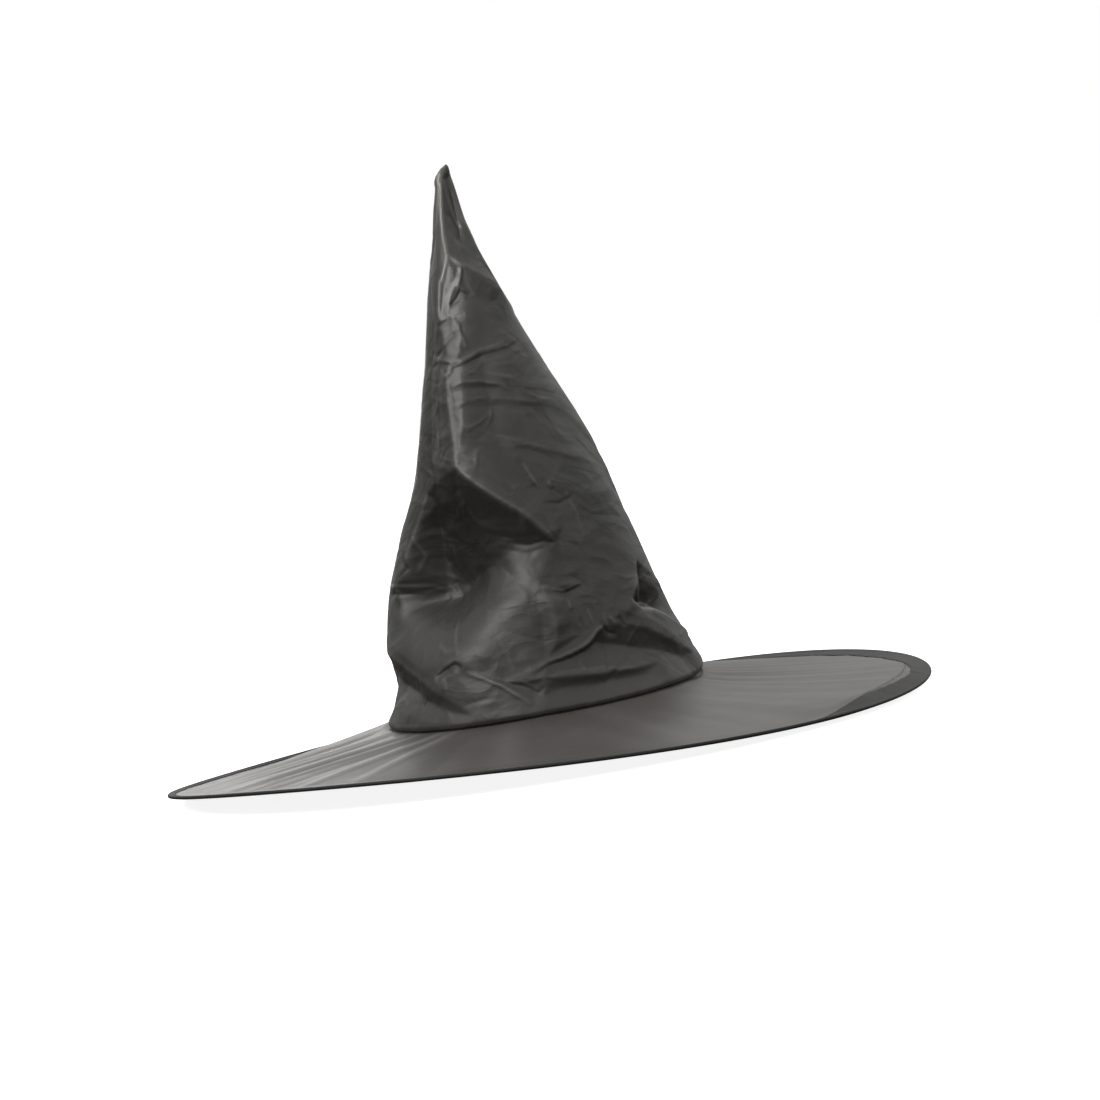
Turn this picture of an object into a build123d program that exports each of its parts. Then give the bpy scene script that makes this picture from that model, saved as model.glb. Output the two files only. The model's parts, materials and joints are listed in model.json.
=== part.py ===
"""Soft pointed costume hat: a cloth cone on a wide drooping brim with a sprung wire in its bound rim.

The brim's axis is Z, and z = 0 is the plane of the seam that joins the crown to the brim.
The crown is two cloth panels, front (-Y) and back (+Y), that meet in side seams at -X and +X.
Its top flops about a crease. The crown's skin is lapped there: the tip's panels carry on down as
a ball-shaped skirt inside the mouth of the lower crown, so that both stay closed as the tip tilts.
"""

import os
from math import atan2, cos, degrees, radians, sin, sqrt, tan

from build123d import *

# Driving dimensions, in millimetres and degrees.
HEAD_RADIUS = 90.5  # inside of the head band, for a head of 57 cm
CLOTH = 0.6  # thickness of one layer
CROWN_RADIUS = 95.0  # outside of the crown at the base seam
CROWN_HEIGHT = 316.0
SHOULDER_HEIGHT = 303.0  # where the cone ends and the blunt tip starts
SHOULDER_RADIUS = 6.0
TIP_END_RADIUS = 2.0
BRIM_RADIUS = 225.0  # to the outside of the rim
BRIM_DROP = 20.0  # from the base seam to the middle of the rim wire

BAND_BOTTOM, BAND_TOP = -1.5, 10.0
BINDING_WIDTH = 15.0
WIRE_RADIUS = 0.8
SLEEVE_BORE, SLEEVE_RADIUS, SLEEVE_LENGTH = 0.85, 1.25, 22.0
CHANNEL_RADIUS = 1.3  # room for the wire and its sleeve inside the binding
FIT = 0.02  # clearance between layers that lie on each other
THREAD_RADIUS = 0.3
HEM_INSET = 3.0  # from the binding's inner edge to its stitching
SEAM_START = 2.0  # from the head band to the foot of a side seam's stitching
SEAM_END = 5.0  # from that stitching's top to the mouth of the lower crown
WIRE_GAP = 1.0  # between the hoop's two ends, inside the sleeve
LABEL_WIDTH, LABEL_HEIGHT, LABEL_THICKNESS = 24.0, 30.0, 0.4
LABEL_CORNER, LABEL_LIFT = 1.0, 1.0

FLOP_HEIGHT = 200.0  # height of the crease that the tip turns about
FLOP_LIMIT = 40.0
MOUTH_HEIGHT = 195.0  # top edge of the lower crown
LAP_SPARE = 3.0  # degrees of skirt left inside the mouth at the limit

# The crown's cone.
CROWN_SLOPE = (CROWN_RADIUS - SHOULDER_RADIUS) / SHOULDER_HEIGHT
CONE_ANGLE = degrees(atan2(CROWN_RADIUS - SHOULDER_RADIUS, SHOULDER_HEIGHT))


def cone_radius(z, inward=0.0):
    """Radius of the crown's outside at height z, or of a surface that far inside it."""
    return CROWN_RADIUS - CROWN_SLOPE * z - inward


# The tip's ball-shaped skirt touches the cone from inside, centred on the crease.
BALL_RADIUS = cone_radius(FLOP_HEIGHT) * cos(radians(CONE_ANGLE))
BALL_TOP = FLOP_HEIGHT + BALL_RADIUS * sin(radians(CONE_ANGLE))
MOUTH_BELOW_CREASE = degrees(atan2(FLOP_HEIGHT - MOUTH_HEIGHT, BALL_RADIUS))
SKIRT_ANGLE = MOUTH_BELOW_CREASE + FLOP_LIMIT + LAP_SPARE

# The brim's slope, and the centre of the wire that runs in its rim.
RIM_OUTSIDE = CHANNEL_RADIUS + CLOTH
WIRE_RING = BRIM_RADIUS - RIM_OUTSIDE
BRIM_ANGLE = degrees(atan2(BRIM_DROP - CLOTH / 2, WIRE_RING - CROWN_RADIUS))
RIM_PLANE = Plane.XZ * Location((WIRE_RING, -BRIM_DROP, 0), (0, 0, -BRIM_ANGLE))


def write(piece, label):
    """Names a finished piece and writes it to its own file."""
    piece.part.label = label
    export_step(piece.part, f"parts/{label}.step")


def panel(points, name, front, arc=None):
    """Half a turn of a closed (radius, height) outline; arc replaces the edge between two points."""
    with BuildPart() as half:
        with BuildSketch(Plane.XZ):
            with BuildLine():
                for start, end in zip(points, points[1:] + points[:1]):
                    bend = (arc or {}).get((start, end))
                    if bend:
                        ThreePointArc(start, bend, end)
                    else:
                        Line(start, end)
            make_face()
        revolve(axis=Axis.Z, revolution_arc=-180 if front else 180)
    write(half, name)


def ball_point(angle, radius):
    """A point that angle above the crease on a ball about it."""
    a = radians(angle)
    return (radius * cos(a), FLOP_HEIGHT + radius * sin(a))


def crown_panels(front):
    """The lower cone panel and the tip panel of one side."""
    side = "front" if front else "back"
    lower = [
        (cone_radius(0), 0.0),
        (cone_radius(MOUTH_HEIGHT), MOUTH_HEIGHT),
        (cone_radius(MOUTH_HEIGHT, CLOTH), MOUTH_HEIGHT),
        (cone_radius(0, CLOTH), 0.0),
    ]
    panel(lower, f"crown_{side}_panel", front)

    inner_ball = BALL_RADIUS - CLOTH
    inner_top = ball_point(CONE_ANGLE, inner_ball)
    hollow_top = SHOULDER_HEIGHT - SHOULDER_RADIUS
    wall = BALL_RADIUS * cos(radians(CONE_ANGLE)) - inner_top[0]
    outer = [
        ball_point(-SKIRT_ANGLE, BALL_RADIUS),
        ball_point(CONE_ANGLE, BALL_RADIUS),
        (SHOULDER_RADIUS, SHOULDER_HEIGHT),
        (TIP_END_RADIUS, CROWN_HEIGHT),
        (0.0, CROWN_HEIGHT),
    ]
    inner = [
        (0.0, hollow_top),
        (cone_radius(hollow_top, wall), hollow_top),
        inner_top,
        ball_point(-SKIRT_ANGLE, inner_ball),
    ]
    middle = (CONE_ANGLE - SKIRT_ANGLE) / 2
    bends = {
        (outer[0], outer[1]): ball_point(middle, BALL_RADIUS),
        (inner[2], inner[3]): ball_point(middle, inner_ball),
    }
    panel(outer + inner, f"crown_tip_{side}_panel", front, bends)


def side_seam(name, side, bottom, top, inward):
    """A seam's thread, straight up the inside of the cone at -X or +X."""
    start = Vector(side * cone_radius(bottom, inward), 0, bottom)
    end = Vector(side * cone_radius(top, inward), 0, top)
    with BuildPart() as thread:
        with BuildSketch(Plane(origin=start, z_dir=end - start)):
            Circle(THREAD_RADIUS)
        extrude(amount=(end - start).length)
    write(thread, name)


def ring(name, radius, height, thread_radius=THREAD_RADIUS):
    """A seam's thread as a closed ring about the hat's axis."""
    with BuildPart() as thread:
        with BuildSketch(Plane.XZ):
            with Locations((radius, height)):
                Circle(thread_radius)
        revolve(axis=Axis.Z)
    write(thread, name)


def brim_cloth():
    """The brim's one layer: flat under the crown's edge, then a shallow cone down to the rim."""
    slope = tan(radians(BRIM_ANGLE))
    edge = WIRE_RING - CHANNEL_RADIUS * cos(radians(BRIM_ANGLE))
    inside = HEAD_RADIUS + CLOTH
    drop = (edge - CROWN_RADIUS) * slope
    with BuildPart() as cloth:
        with BuildSketch(Plane.XZ):
            with BuildLine():
                Polyline(
                    (inside, 0),
                    (CROWN_RADIUS, 0),
                    (edge, -drop),
                    (edge, -drop - CLOTH),
                    (CROWN_RADIUS, -CLOTH),
                    (inside, -CLOTH),
                    close=True,
                )
            make_face()
        revolve(axis=Axis.Z)
    write(cloth, "brim_cloth")


def rim_binding():
    """The strip folded round the rim: two leaves on the brim's cloth and a channel for the wire."""
    leaf_gap = CLOTH + 2 * FIT
    with BuildPart() as binding:
        with BuildSketch(RIM_PLANE):
            Circle(RIM_OUTSIDE)
            with Locations((-BINDING_WIDTH / 2, 0)):
                Rectangle(BINDING_WIDTH, leaf_gap + 2 * CLOTH)
            Circle(CHANNEL_RADIUS, mode=Mode.SUBTRACT)
            with Locations((-BINDING_WIDTH / 2 - CHANNEL_RADIUS / 2, 0)):
                Rectangle(BINDING_WIDTH, leaf_gap, mode=Mode.SUBTRACT)
        revolve(axis=Axis.Z)
    write(binding, "rim_binding")


def rim_wire():
    """The hoop of spring wire, open by a hair where its two ends meet in the sleeve at the back."""
    gap = degrees(WIRE_GAP / WIRE_RING)
    with BuildPart() as wire:
        with BuildSketch(Plane.XZ.rotated((0, 0, 90 + gap / 2))):
            with Locations((WIRE_RING, -BRIM_DROP)):
                Circle(WIRE_RADIUS)
        revolve(axis=Axis.Z, revolution_arc=360 - gap)
    write(wire, "brim_wire")


def wire_sleeve():
    """The tube that joins the hoop's ends, bent to its curve."""
    turn = degrees(SLEEVE_LENGTH / WIRE_RING)
    with BuildPart() as sleeve:
        with BuildSketch(Plane.XZ.rotated((0, 0, 90 - turn / 2))):
            with Locations((WIRE_RING, -BRIM_DROP)):
                Circle(SLEEVE_RADIUS)
                Circle(SLEEVE_BORE, mode=Mode.SUBTRACT)
        revolve(axis=Axis.Z, revolution_arc=turn)
    write(sleeve, "brim_wire_sleeve")


def head_band():
    """The tape that finishes the head opening, upright inside the base seam."""
    with BuildPart() as band:
        with BuildSketch(Plane.XY.offset(BAND_BOTTOM)):
            Circle(HEAD_RADIUS + CLOTH - FIT)
            Circle(HEAD_RADIUS, mode=Mode.SUBTRACT)
        extrude(amount=BAND_TOP - BAND_BOTTOM)
    write(band, "head_band")


def care_label():
    """A blank tab that lies against the inside of the back panel, above the head band."""
    bottom = BAND_TOP + LABEL_LIFT
    sagitta = cone_radius(bottom) - sqrt(cone_radius(bottom) ** 2 - (LABEL_WIDTH / 2) ** 2)
    reach = cone_radius(bottom, CLOTH + sagitta + 2 * THREAD_RADIUS)
    tilt = Plane(origin=(0, reach, bottom), x_dir=(1, 0, 0), z_dir=(0, -1, -CROWN_SLOPE))
    with BuildPart() as label:
        with BuildSketch(tilt):
            with Locations((0, LABEL_HEIGHT / 2)):
                RectangleRounded(LABEL_WIDTH, LABEL_HEIGHT, LABEL_CORNER)
        extrude(amount=LABEL_THICKNESS)
    write(label, "care_label")


def threads():
    """The stitching of every seam, each as one run of thread."""
    clear = CLOTH + 2 * THREAD_RADIUS
    for side, name in ((-1, "left"), (1, "right")):
        seam_bottom, seam_top = BAND_TOP + SEAM_START, MOUTH_HEIGHT - SEAM_END
        side_seam(f"crown_{name}_seam_stitching", side, seam_bottom, seam_top, clear)
        tip_bottom, tip_top = BALL_TOP + SEAM_START, SHOULDER_HEIGHT - 3 * SHOULDER_RADIUS
        side_seam(f"crown_tip_{name}_seam_stitching", side, tip_bottom, tip_top, clear)
    ring("base_seam_stitching", HEAD_RADIUS + CLOTH + 3 * THREAD_RADIUS, THREAD_RADIUS)
    band_radius = HEAD_RADIUS + CLOTH + THREAD_RADIUS
    ring("head_band_stitching", band_radius, -CLOTH - THREAD_RADIUS - FIT)
    back, rise = HEM_INSET - BINDING_WIDTH, 1.5 * CLOTH + FIT + THREAD_RADIUS + FIT
    a = radians(BRIM_ANGLE)
    stitch_radius = WIRE_RING + back * cos(a) + rise * sin(a)
    stitch_height = -BRIM_DROP - back * sin(a) + rise * cos(a)
    ring("rim_binding_stitching", stitch_radius, stitch_height)


os.makedirs("parts", exist_ok=True)
for is_front in (True, False):
    crown_panels(is_front)
brim_cloth()
rim_binding()
rim_wire()
wire_sleeve()
head_band()
care_label()
threads()
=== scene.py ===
"""Looks of the soft witch hat: crumpled taffeta crown, wide see-through brim and a bound, wired rim.

The crown is two panels of creased cloth over the joint at the crease.
Its creases are folds listed as (angle, height, push) marks: the angle is measured round the
crown from the front (-Y) towards +X in degrees, the height from the base seam and the push outward
from the plain cone in millimetres. Lengths are millimetres until they become mesh vertices.
"""

import json
import math

import bpy
import numpy as np
from mathutils import Matrix, Vector, geometry


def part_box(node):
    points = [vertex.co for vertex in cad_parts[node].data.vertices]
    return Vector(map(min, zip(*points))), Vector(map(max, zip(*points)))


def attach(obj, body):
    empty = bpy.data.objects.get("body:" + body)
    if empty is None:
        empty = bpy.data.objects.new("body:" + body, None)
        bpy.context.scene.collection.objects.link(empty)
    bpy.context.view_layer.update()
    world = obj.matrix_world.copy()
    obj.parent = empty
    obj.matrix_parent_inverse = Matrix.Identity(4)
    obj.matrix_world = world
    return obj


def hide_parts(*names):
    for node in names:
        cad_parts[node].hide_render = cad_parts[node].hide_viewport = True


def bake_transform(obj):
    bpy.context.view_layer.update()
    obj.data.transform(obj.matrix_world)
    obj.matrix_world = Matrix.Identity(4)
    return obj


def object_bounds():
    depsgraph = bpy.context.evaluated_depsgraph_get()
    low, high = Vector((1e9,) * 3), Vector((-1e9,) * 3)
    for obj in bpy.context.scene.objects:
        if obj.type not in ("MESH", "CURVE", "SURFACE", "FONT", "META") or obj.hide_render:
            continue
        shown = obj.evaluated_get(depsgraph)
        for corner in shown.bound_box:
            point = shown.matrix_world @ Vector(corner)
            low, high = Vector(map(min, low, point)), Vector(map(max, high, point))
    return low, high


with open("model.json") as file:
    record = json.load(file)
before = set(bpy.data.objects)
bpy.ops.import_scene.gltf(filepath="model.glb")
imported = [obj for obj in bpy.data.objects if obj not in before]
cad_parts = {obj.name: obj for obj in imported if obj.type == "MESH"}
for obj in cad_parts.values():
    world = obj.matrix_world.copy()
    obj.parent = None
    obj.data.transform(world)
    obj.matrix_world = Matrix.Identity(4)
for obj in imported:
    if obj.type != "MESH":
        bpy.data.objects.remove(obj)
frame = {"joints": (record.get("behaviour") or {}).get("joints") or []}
cad_low, cad_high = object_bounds()

MM = 0.001
SEED = 7

# Sizes from the frame.
CROWN_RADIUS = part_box("crown_front_panel")[1].x / MM
CROWN_TOP = cad_high.z / MM
RIM_RADIUS = cad_high.x / MM
FLOP_HEIGHT = frame["joints"][0]["pos_m"][2] / MM
TIP_RADIUS, SHOULDER = 6.0, 303.0
CLOTH_TOP = CROWN_TOP - 6
SLOPE = (CROWN_RADIUS - TIP_RADIUS) / SHOULDER
CLOTH = 0.3  # thickness that the thin shells of cloth show

# How the sewn hat sits: the crown leans a little, its seam dips at the front, and the rim is a saddle.
LEAN_LEFT = math.tan(math.radians(1.6))
LEAN_FRONT = 8.0 / CROWN_TOP
SEAM_DIP = 4.1
SEAM_DIP_LEFT = 3.4
SEAM_FADE = 60  # height at which the crown no longer follows the dip of its seam
TIP_SLANT, SLANT_FROM, SLANT_OVER = 0.9, 288, 22  # the tip's end is cut at a slant
RIM_DROP = 19.7
SADDLE, SADDLE_TURN = 5.3, math.radians(280)

# Points of the grids: round the crown, up the crown, round the brim and across the brim.
COLUMNS, ROWS = 600, 340
RIM_COLUMNS, BRIM_ROWS = 480, 84


# ------------------------ camera

DISTANCE, LENS = 2.0, 112.0
ELEVATION, ROLL = math.radians(2.49), math.radians(9.5)
STEP_RIGHT, STEP_UP = 0.004, 0.0836


def make_camera():
    """A long lens from the front, turned on its axis, looking just above the hat's middle."""
    forward = Vector((0, math.cos(ELEVATION), -math.sin(ELEVATION)))
    level_up = Vector((0, math.sin(ELEVATION), math.cos(ELEVATION)))
    side = Vector((1, 0, 0))
    right = math.cos(ROLL) * side - math.sin(ROLL) * level_up
    up = math.sin(ROLL) * side + math.cos(ROLL) * level_up
    place = STEP_RIGHT * right + STEP_UP * up - DISTANCE * forward
    data = bpy.data.cameras.new("camera")
    data.lens = LENS
    data.sensor_width = 36.0
    camera = bpy.data.objects.new("camera", data)
    bpy.context.scene.collection.objects.link(camera)
    turn = Matrix((right, up, -forward)).transposed().to_4x4()
    camera.matrix_world = Matrix.Translation(place) @ turn
    bpy.context.scene.camera = camera


make_camera()


# ------------------------ the crown's folds

# Outline at the left and right seams.
LEFT_SEAM = [
    (-90, 0, -2), (-90, 6, -6), (-90, 18, -8), (-90, 28, -4), (-90, 38, -0.5), (-90, 50, 2), (-90, 76, 2),
    (-90, 100, 0.5), (-90, 124, -5), (-90, 140, -6), (-90, 200, -4.5), (-90, 235, -3), (-90, 265, -2.5),
    (-90, 290, -1), (-90, 303, 0.5),
]
RIGHT_SEAM = [
    (90, 0, 0), (90, 6, 1.5), (90, 15, 0), (90, 33, -2), (90, 50, -1), (90, 75, 1), (90, 103, 2),
    (90, 125, 4.5), (90, 142, 5), (90, 158, 3), (90, 190, -1), (90, 226, -4), (90, 243, -7),
    (90, 278, -5.5), (90, 303, -3.5),
]

# Folds on the front, top to bottom: (name, softness from 0 sharp to 1 soft, marks).
FRONT_FOLDS = [
    ("tip flat right", 0.3, [(40, 303, -2), (38, 290, -3.6)]),
    ("tip ridge", 0.1, [(-13, 298, 0.8), (-21, 276, 1.2), (-15, 259, 2), (-31, 246, 1.1),
        (-37, 226, 0.4)]),
    ("tip flat left", 0.3, [(-55, 290, -2.2), (-55, 268, -3), (-60, 246, -2.6)]),
    ("tip dent", 0, [(-3, 283, -1.5), (12, 279, -3.4), (25, 275, -4.2), (17, 268, -3.6)]),
    ("tip dent right", 0.1, [(48, 282, -2.6), (55, 266, -2.6)]),
    ("tip facet top", 0.05, [(2, 270, -1.6), (24, 261, -2), (50, 252, -2.6)]),
    ("tip facet", 0.05, [(-12, 258, 1.6), (16, 249, 1.4), (41, 240, 1.2), (62, 236, -1)]),
    ("tip spur", 0.1, [(2, 247, 0.4), (-6, 240, 0.8)]),
    ("tip spur valley", 0.1, [(-21, 231, -0.4), (-8, 236, -0.6), (6, 235, -0.8), (24, 231, -1.2),
        (40, 229, -1.8)]),
    ("upper flat", 0.5, [(-52, 222, -3.4), (-46, 206, -3)]),
    ("upper middle", 0.35, [(-12, 219, 0.8), (25, 215, -0.8), (58, 214, -2.4)]),
    ("main ridge", 0.1, [(-27, 206, 0.8), (-28, 190, 1.6), (-27, 170, 2.2), (-25, 152, 3)]),
    ("main ridge foot", 0.1, [(-23, 139, 6)]),
    ("ridge strip edge", 0.15, [(-14, 206, 1.2), (-15, 190, 1.8), (-17, 168, 2.4), (-20, 152, 3.4)]),
    ("right of ridge", 0.35, [(4, 200, -1.6), (3, 178, -2.2), (2, 156, -1.6)]),
    ("right shoulder", 0.4, [(24, 204, 0.2), (24, 182, 1), (24, 158, 1.6)]),
    ("right slope", 0.45, [(50, 190, -1.4), (54, 168, -0.4)]),
    ("left brow", 0.3, [(-42, 188, -3.6), (-40, 168, -3.6)]),
    ("left strip", 0.05, [(-56, 190, -4.8), (-54, 165, -5.8), (-53, 145, -6.4), (-57, 128, -6.2),
        (-62, 112, -4.4), (-67, 99, -2.2), (-71, 87, -0.2), (-75, 76, 1.4)]),
    ("left face", 0.4, [(-70, 180, -4.6), (-72, 140, -5.2), (-76, 112, -1.2), (-80, 92, 1.6)]),
    ("diagonal ridge", 0.05, [(-15, 131, 7.5), (-4, 120, 8), (7, 109, 7.5), (17, 94, 4.5)]),
    ("above the diagonal", 0.4, [(-8, 144, 3), (6, 132, 3.5), (18, 116, 3.5), (27, 98, 1.5)]),
    ("hollow left", 0.2, [(-49, 132, -7.5), (-52, 120, -11.5), (-54, 106, -17), (-56, 90, -22)]),
    ("hollow middle", 0.2, [(-30, 122, -5.8), (-29, 106, -14), (-29, 91, -21)]),
    ("hollow right", 0.2, [(-15, 118, 0.5), (-15, 105, -6.5), (-15, 93, -13)]),
    ("hollow corner", 0.1, [(-3, 107, 0), (-3, 96, -6)]),
    ("hollow valley", 0.35, [(13, 92, 0), (7, 90, -3.5), (-4, 86, -9), (-15, 81, -18), (-28, 75, -27),
        (-38, 69, -30), (-47, 65, -30), (-57, 65, -26), (-65, 65, -15), (-72, 66, -2)]),
    ("hollow sill", 0.95, [(11, 78, 0.8), (3, 66, -0.6), (-10, 58, -2.4), (-26, 52, -6.5), (-38, 48, -8),
        (-52, 47, -3.5), (-68, 56, 1.5)]),
    ("belly", 1, [(-10, 44, -0.6), (-28, 40, 1.6), (-47, 38, -1), (-76, 54, 2.5)]),
    ("right of hollow", 0.1, [(20, 88, 1.4), (20, 78, 1), (15, 72, 0.8), (10, 68, 0.2)]),
    ("front ridge", 0.1, [(9, 66, 2.6), (10.5, 56, 4.4), (10.5, 45, 4.8), (9, 36, 3)]),
    ("beside front ridge", 0.15, [(5, 60, 0.4), (5.5, 48, 1), (4.5, 37, 0.6)]),
    ("right of front ridge", 0.3, [(17, 52, 2), (17, 43, 2)]),
    ("small shelf", 0, [(14, 65.5, 1.4), (19, 60, 0.4), (28, 63, 1.2)]),
    ("pressed fold", 0.05, [(30, 68, 1.8), (28, 54, 1.6), (25, 40, 1.8)]),
    ("right middle", 0.65, [(38, 150, 1.4), (40, 120, 1.6), (40, 98, 1.2), (42, 72, 1.2), (38, 54, 1.6)]),
    ("right pressed seam", 0, [(84, 132, 3.6), (69, 121, 3), (58, 109, 2.4), (50, 96, 2), (46, 86, 1.6)]),
    ("right hem", 0, [(83, 88, 1.4), (72, 80, 1.6), (61, 70, 2.2), (52, 56, 3), (46, 50, 3.2),
        (41, 44, 3)]),
    ("right triangle", 0, [(54, 46.5, -7), (61, 45.5, -8.5), (68, 41, -8.5), (76, 34.5, -7),
        (84, 29, -3)]),
    ("flap top", 0, [(44, 42, 2.6), (51, 43.8, 1.4), (58, 42, 1.4), (66, 37, 1.4), (74, 30, 1.4),
        (82, 24, 1)]),
    ("flap edge", 0, [(31, 39.5, 2.4), (38, 38.8, 2.6), (47, 34, 2.8), (56, 26.5, 2.6), (66, 19, 2.2),
        (76, 12, 1.4)]),
    ("above the lip", 0.2, [(5, 29, 0.6), (12, 32.5, 0.4), (20, 37.8, 1.2)]),
    ("lip", 0, [(-4, 19.5, 0.4), (4, 26, 1.2), (8, 27, 1.6), (14, 28.5, 2.2), (19, 30.5, 2.6),
        (23, 33.5, 3), (27, 38.5, 3)]),
    ("under the lip", 0, [(4, 24.8, 0.2), (8, 25.8, -0.6), (14, 27, -1.2), (19, 29, -1.2),
        (24, 32, -1.2)]),
    ("wedge foot", 0.15, [(10, 23.5, -0.2), (17, 24.5, -0.6), (25, 27.2, -1.6), (35, 27, -2.4),
        (50, 20.5, -1.8), (64, 13, -0.8)]),
    ("pocket floor", 0, [(2, 19.3, 1.2), (12, 17.5, 1.8), (24, 15.5, 1.8), (35, 14.5, 1), (50, 14, 0)]),
    ("low right dip", 0.5, [(8, 12, -1.4), (24, 10, -1.8), (40, 9, -1.6)]),
    ("foot front", 0.6, [(-34, 1, 1), (-8, 1, 1.6), (10, 1, 1.8), (30, 2, 2), (50, 3, 1.4)]),
    ("low left edge", 0, [(-77, 41, 3.2), (-62, 35, 2), (-46, 25, 0.6), (-33, 14, 0.4), (-25, 6, 0.6)]),
    ("notch", 0, [(-78, 27, -5.2), (-64, 23, -5.8), (-54, 19.5, -5), (-44, 14, -3.4), (-34, 8.5, -1.2)]),
    ("foot left", 0.2, [(-74, 12, -3.8), (-60, 10, -2), (-48, 6, -0.5)]),
    ("low ridge", 0, [(-31, 27.5, 0.4), (-22, 25, 0.6), (-14, 19.5, 1), (-8, 13.5, 1.3), (-3, 6.5, 1)]),
    ("wedge", 0, [(-12.5, 20.5, -0.2), (-8, 17.8, -0.9), (-3, 13.8, -1), (1.5, 9.8, -0.2)]),
]

# Folds on the back, which is as crumpled.
BACK_FOLDS = [
    ("back tip ridge", 0.1, [(150, 298, 0.6), (165, 270, 1.2), (158, 246, 1.6), (176, 222, 1.2)]),
    ("back tip dent", 0.1, [(125, 280, -2.8), (118, 262, -3.6), (128, 246, -2.8)]),
    ("back tip dent left", 0.1, [(-160, 286, -2.2), (-150, 264, -3.4), (-142, 240, -2.6)]),
    ("back shelf", 0.05, [(120, 226, 0.6), (140, 216, 1.8), (166, 206, 1.4)]),
    ("back shelf valley", 0.1, [(112, 210, -3), (134, 203, -2.2), (158, 194, -1.8)]),
    ("back left ridge", 0.2, [(-150, 222, 0.4), (-146, 196, 2), (-152, 168, 2.6), (-140, 142, 3.4)]),
    ("back left valley", 0.3, [(-122, 210, -4.4), (-118, 176, -5.2), (-122, 146, -4.6)]),
    ("back long ridge", 0.1, [(150, 182, 1.6), (136, 158, 2.8), (140, 132, 3.2), (124, 108, 2.6)]),
    ("back middle dent", 0.4, [(170, 172, -1.6), (176, 146, -4.2), (168, 120, -6), (176, 98, -3.4)]),
    ("back brow", 0.1, [(-168, 150, 1.8), (-160, 124, 2.6), (-166, 100, 2)]),
    ("back right dent", 0.3, [(112, 150, -1.4), (110, 128, -2.6), (104, 104, -1.6)]),
    ("back belly", 0.9, [(132, 84, 2.4), (156, 76, 3), (-178, 68, 3.4), (-152, 72, 3)]),
    ("back left dent", 0.3, [(-132, 112, -3.4), (-124, 92, -5), (-128, 70, -2.4)]),
    ("back left edge", 0, [(-104, 96, 1.6), (-110, 74, 2.6), (-104, 52, 2.4)]),
    ("back low lip", 0, [(-134, 46, 3), (-150, 38, 4.2), (-168, 33, 4.4), (174, 34, 3.4), (160, 40, 1.8)]),
    ("back low pocket", 0, [(-136, 38, -1.8), (-150, 31, -3.6), (-168, 26, -3.8), (176, 28, -2.4)]),
    ("back right fold", 0.05, [(110, 76, 1.6), (122, 52, 3.2), (138, 34, 2.6), (152, 18, 1)]),
    ("back right valley", 0.05, [(106, 52, -2.8), (118, 34, -3.2), (134, 18, -1.6)]),
    ("back foot", 0.3, [(-118, 30, -2.2), (-126, 14, -1.8), (-150, 12, -0.6), (170, 12, -0.8)]),
    ("back left foot", 0.1, [(-104, 30, -1.4), (-106, 16, -4.4)]),
]

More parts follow.
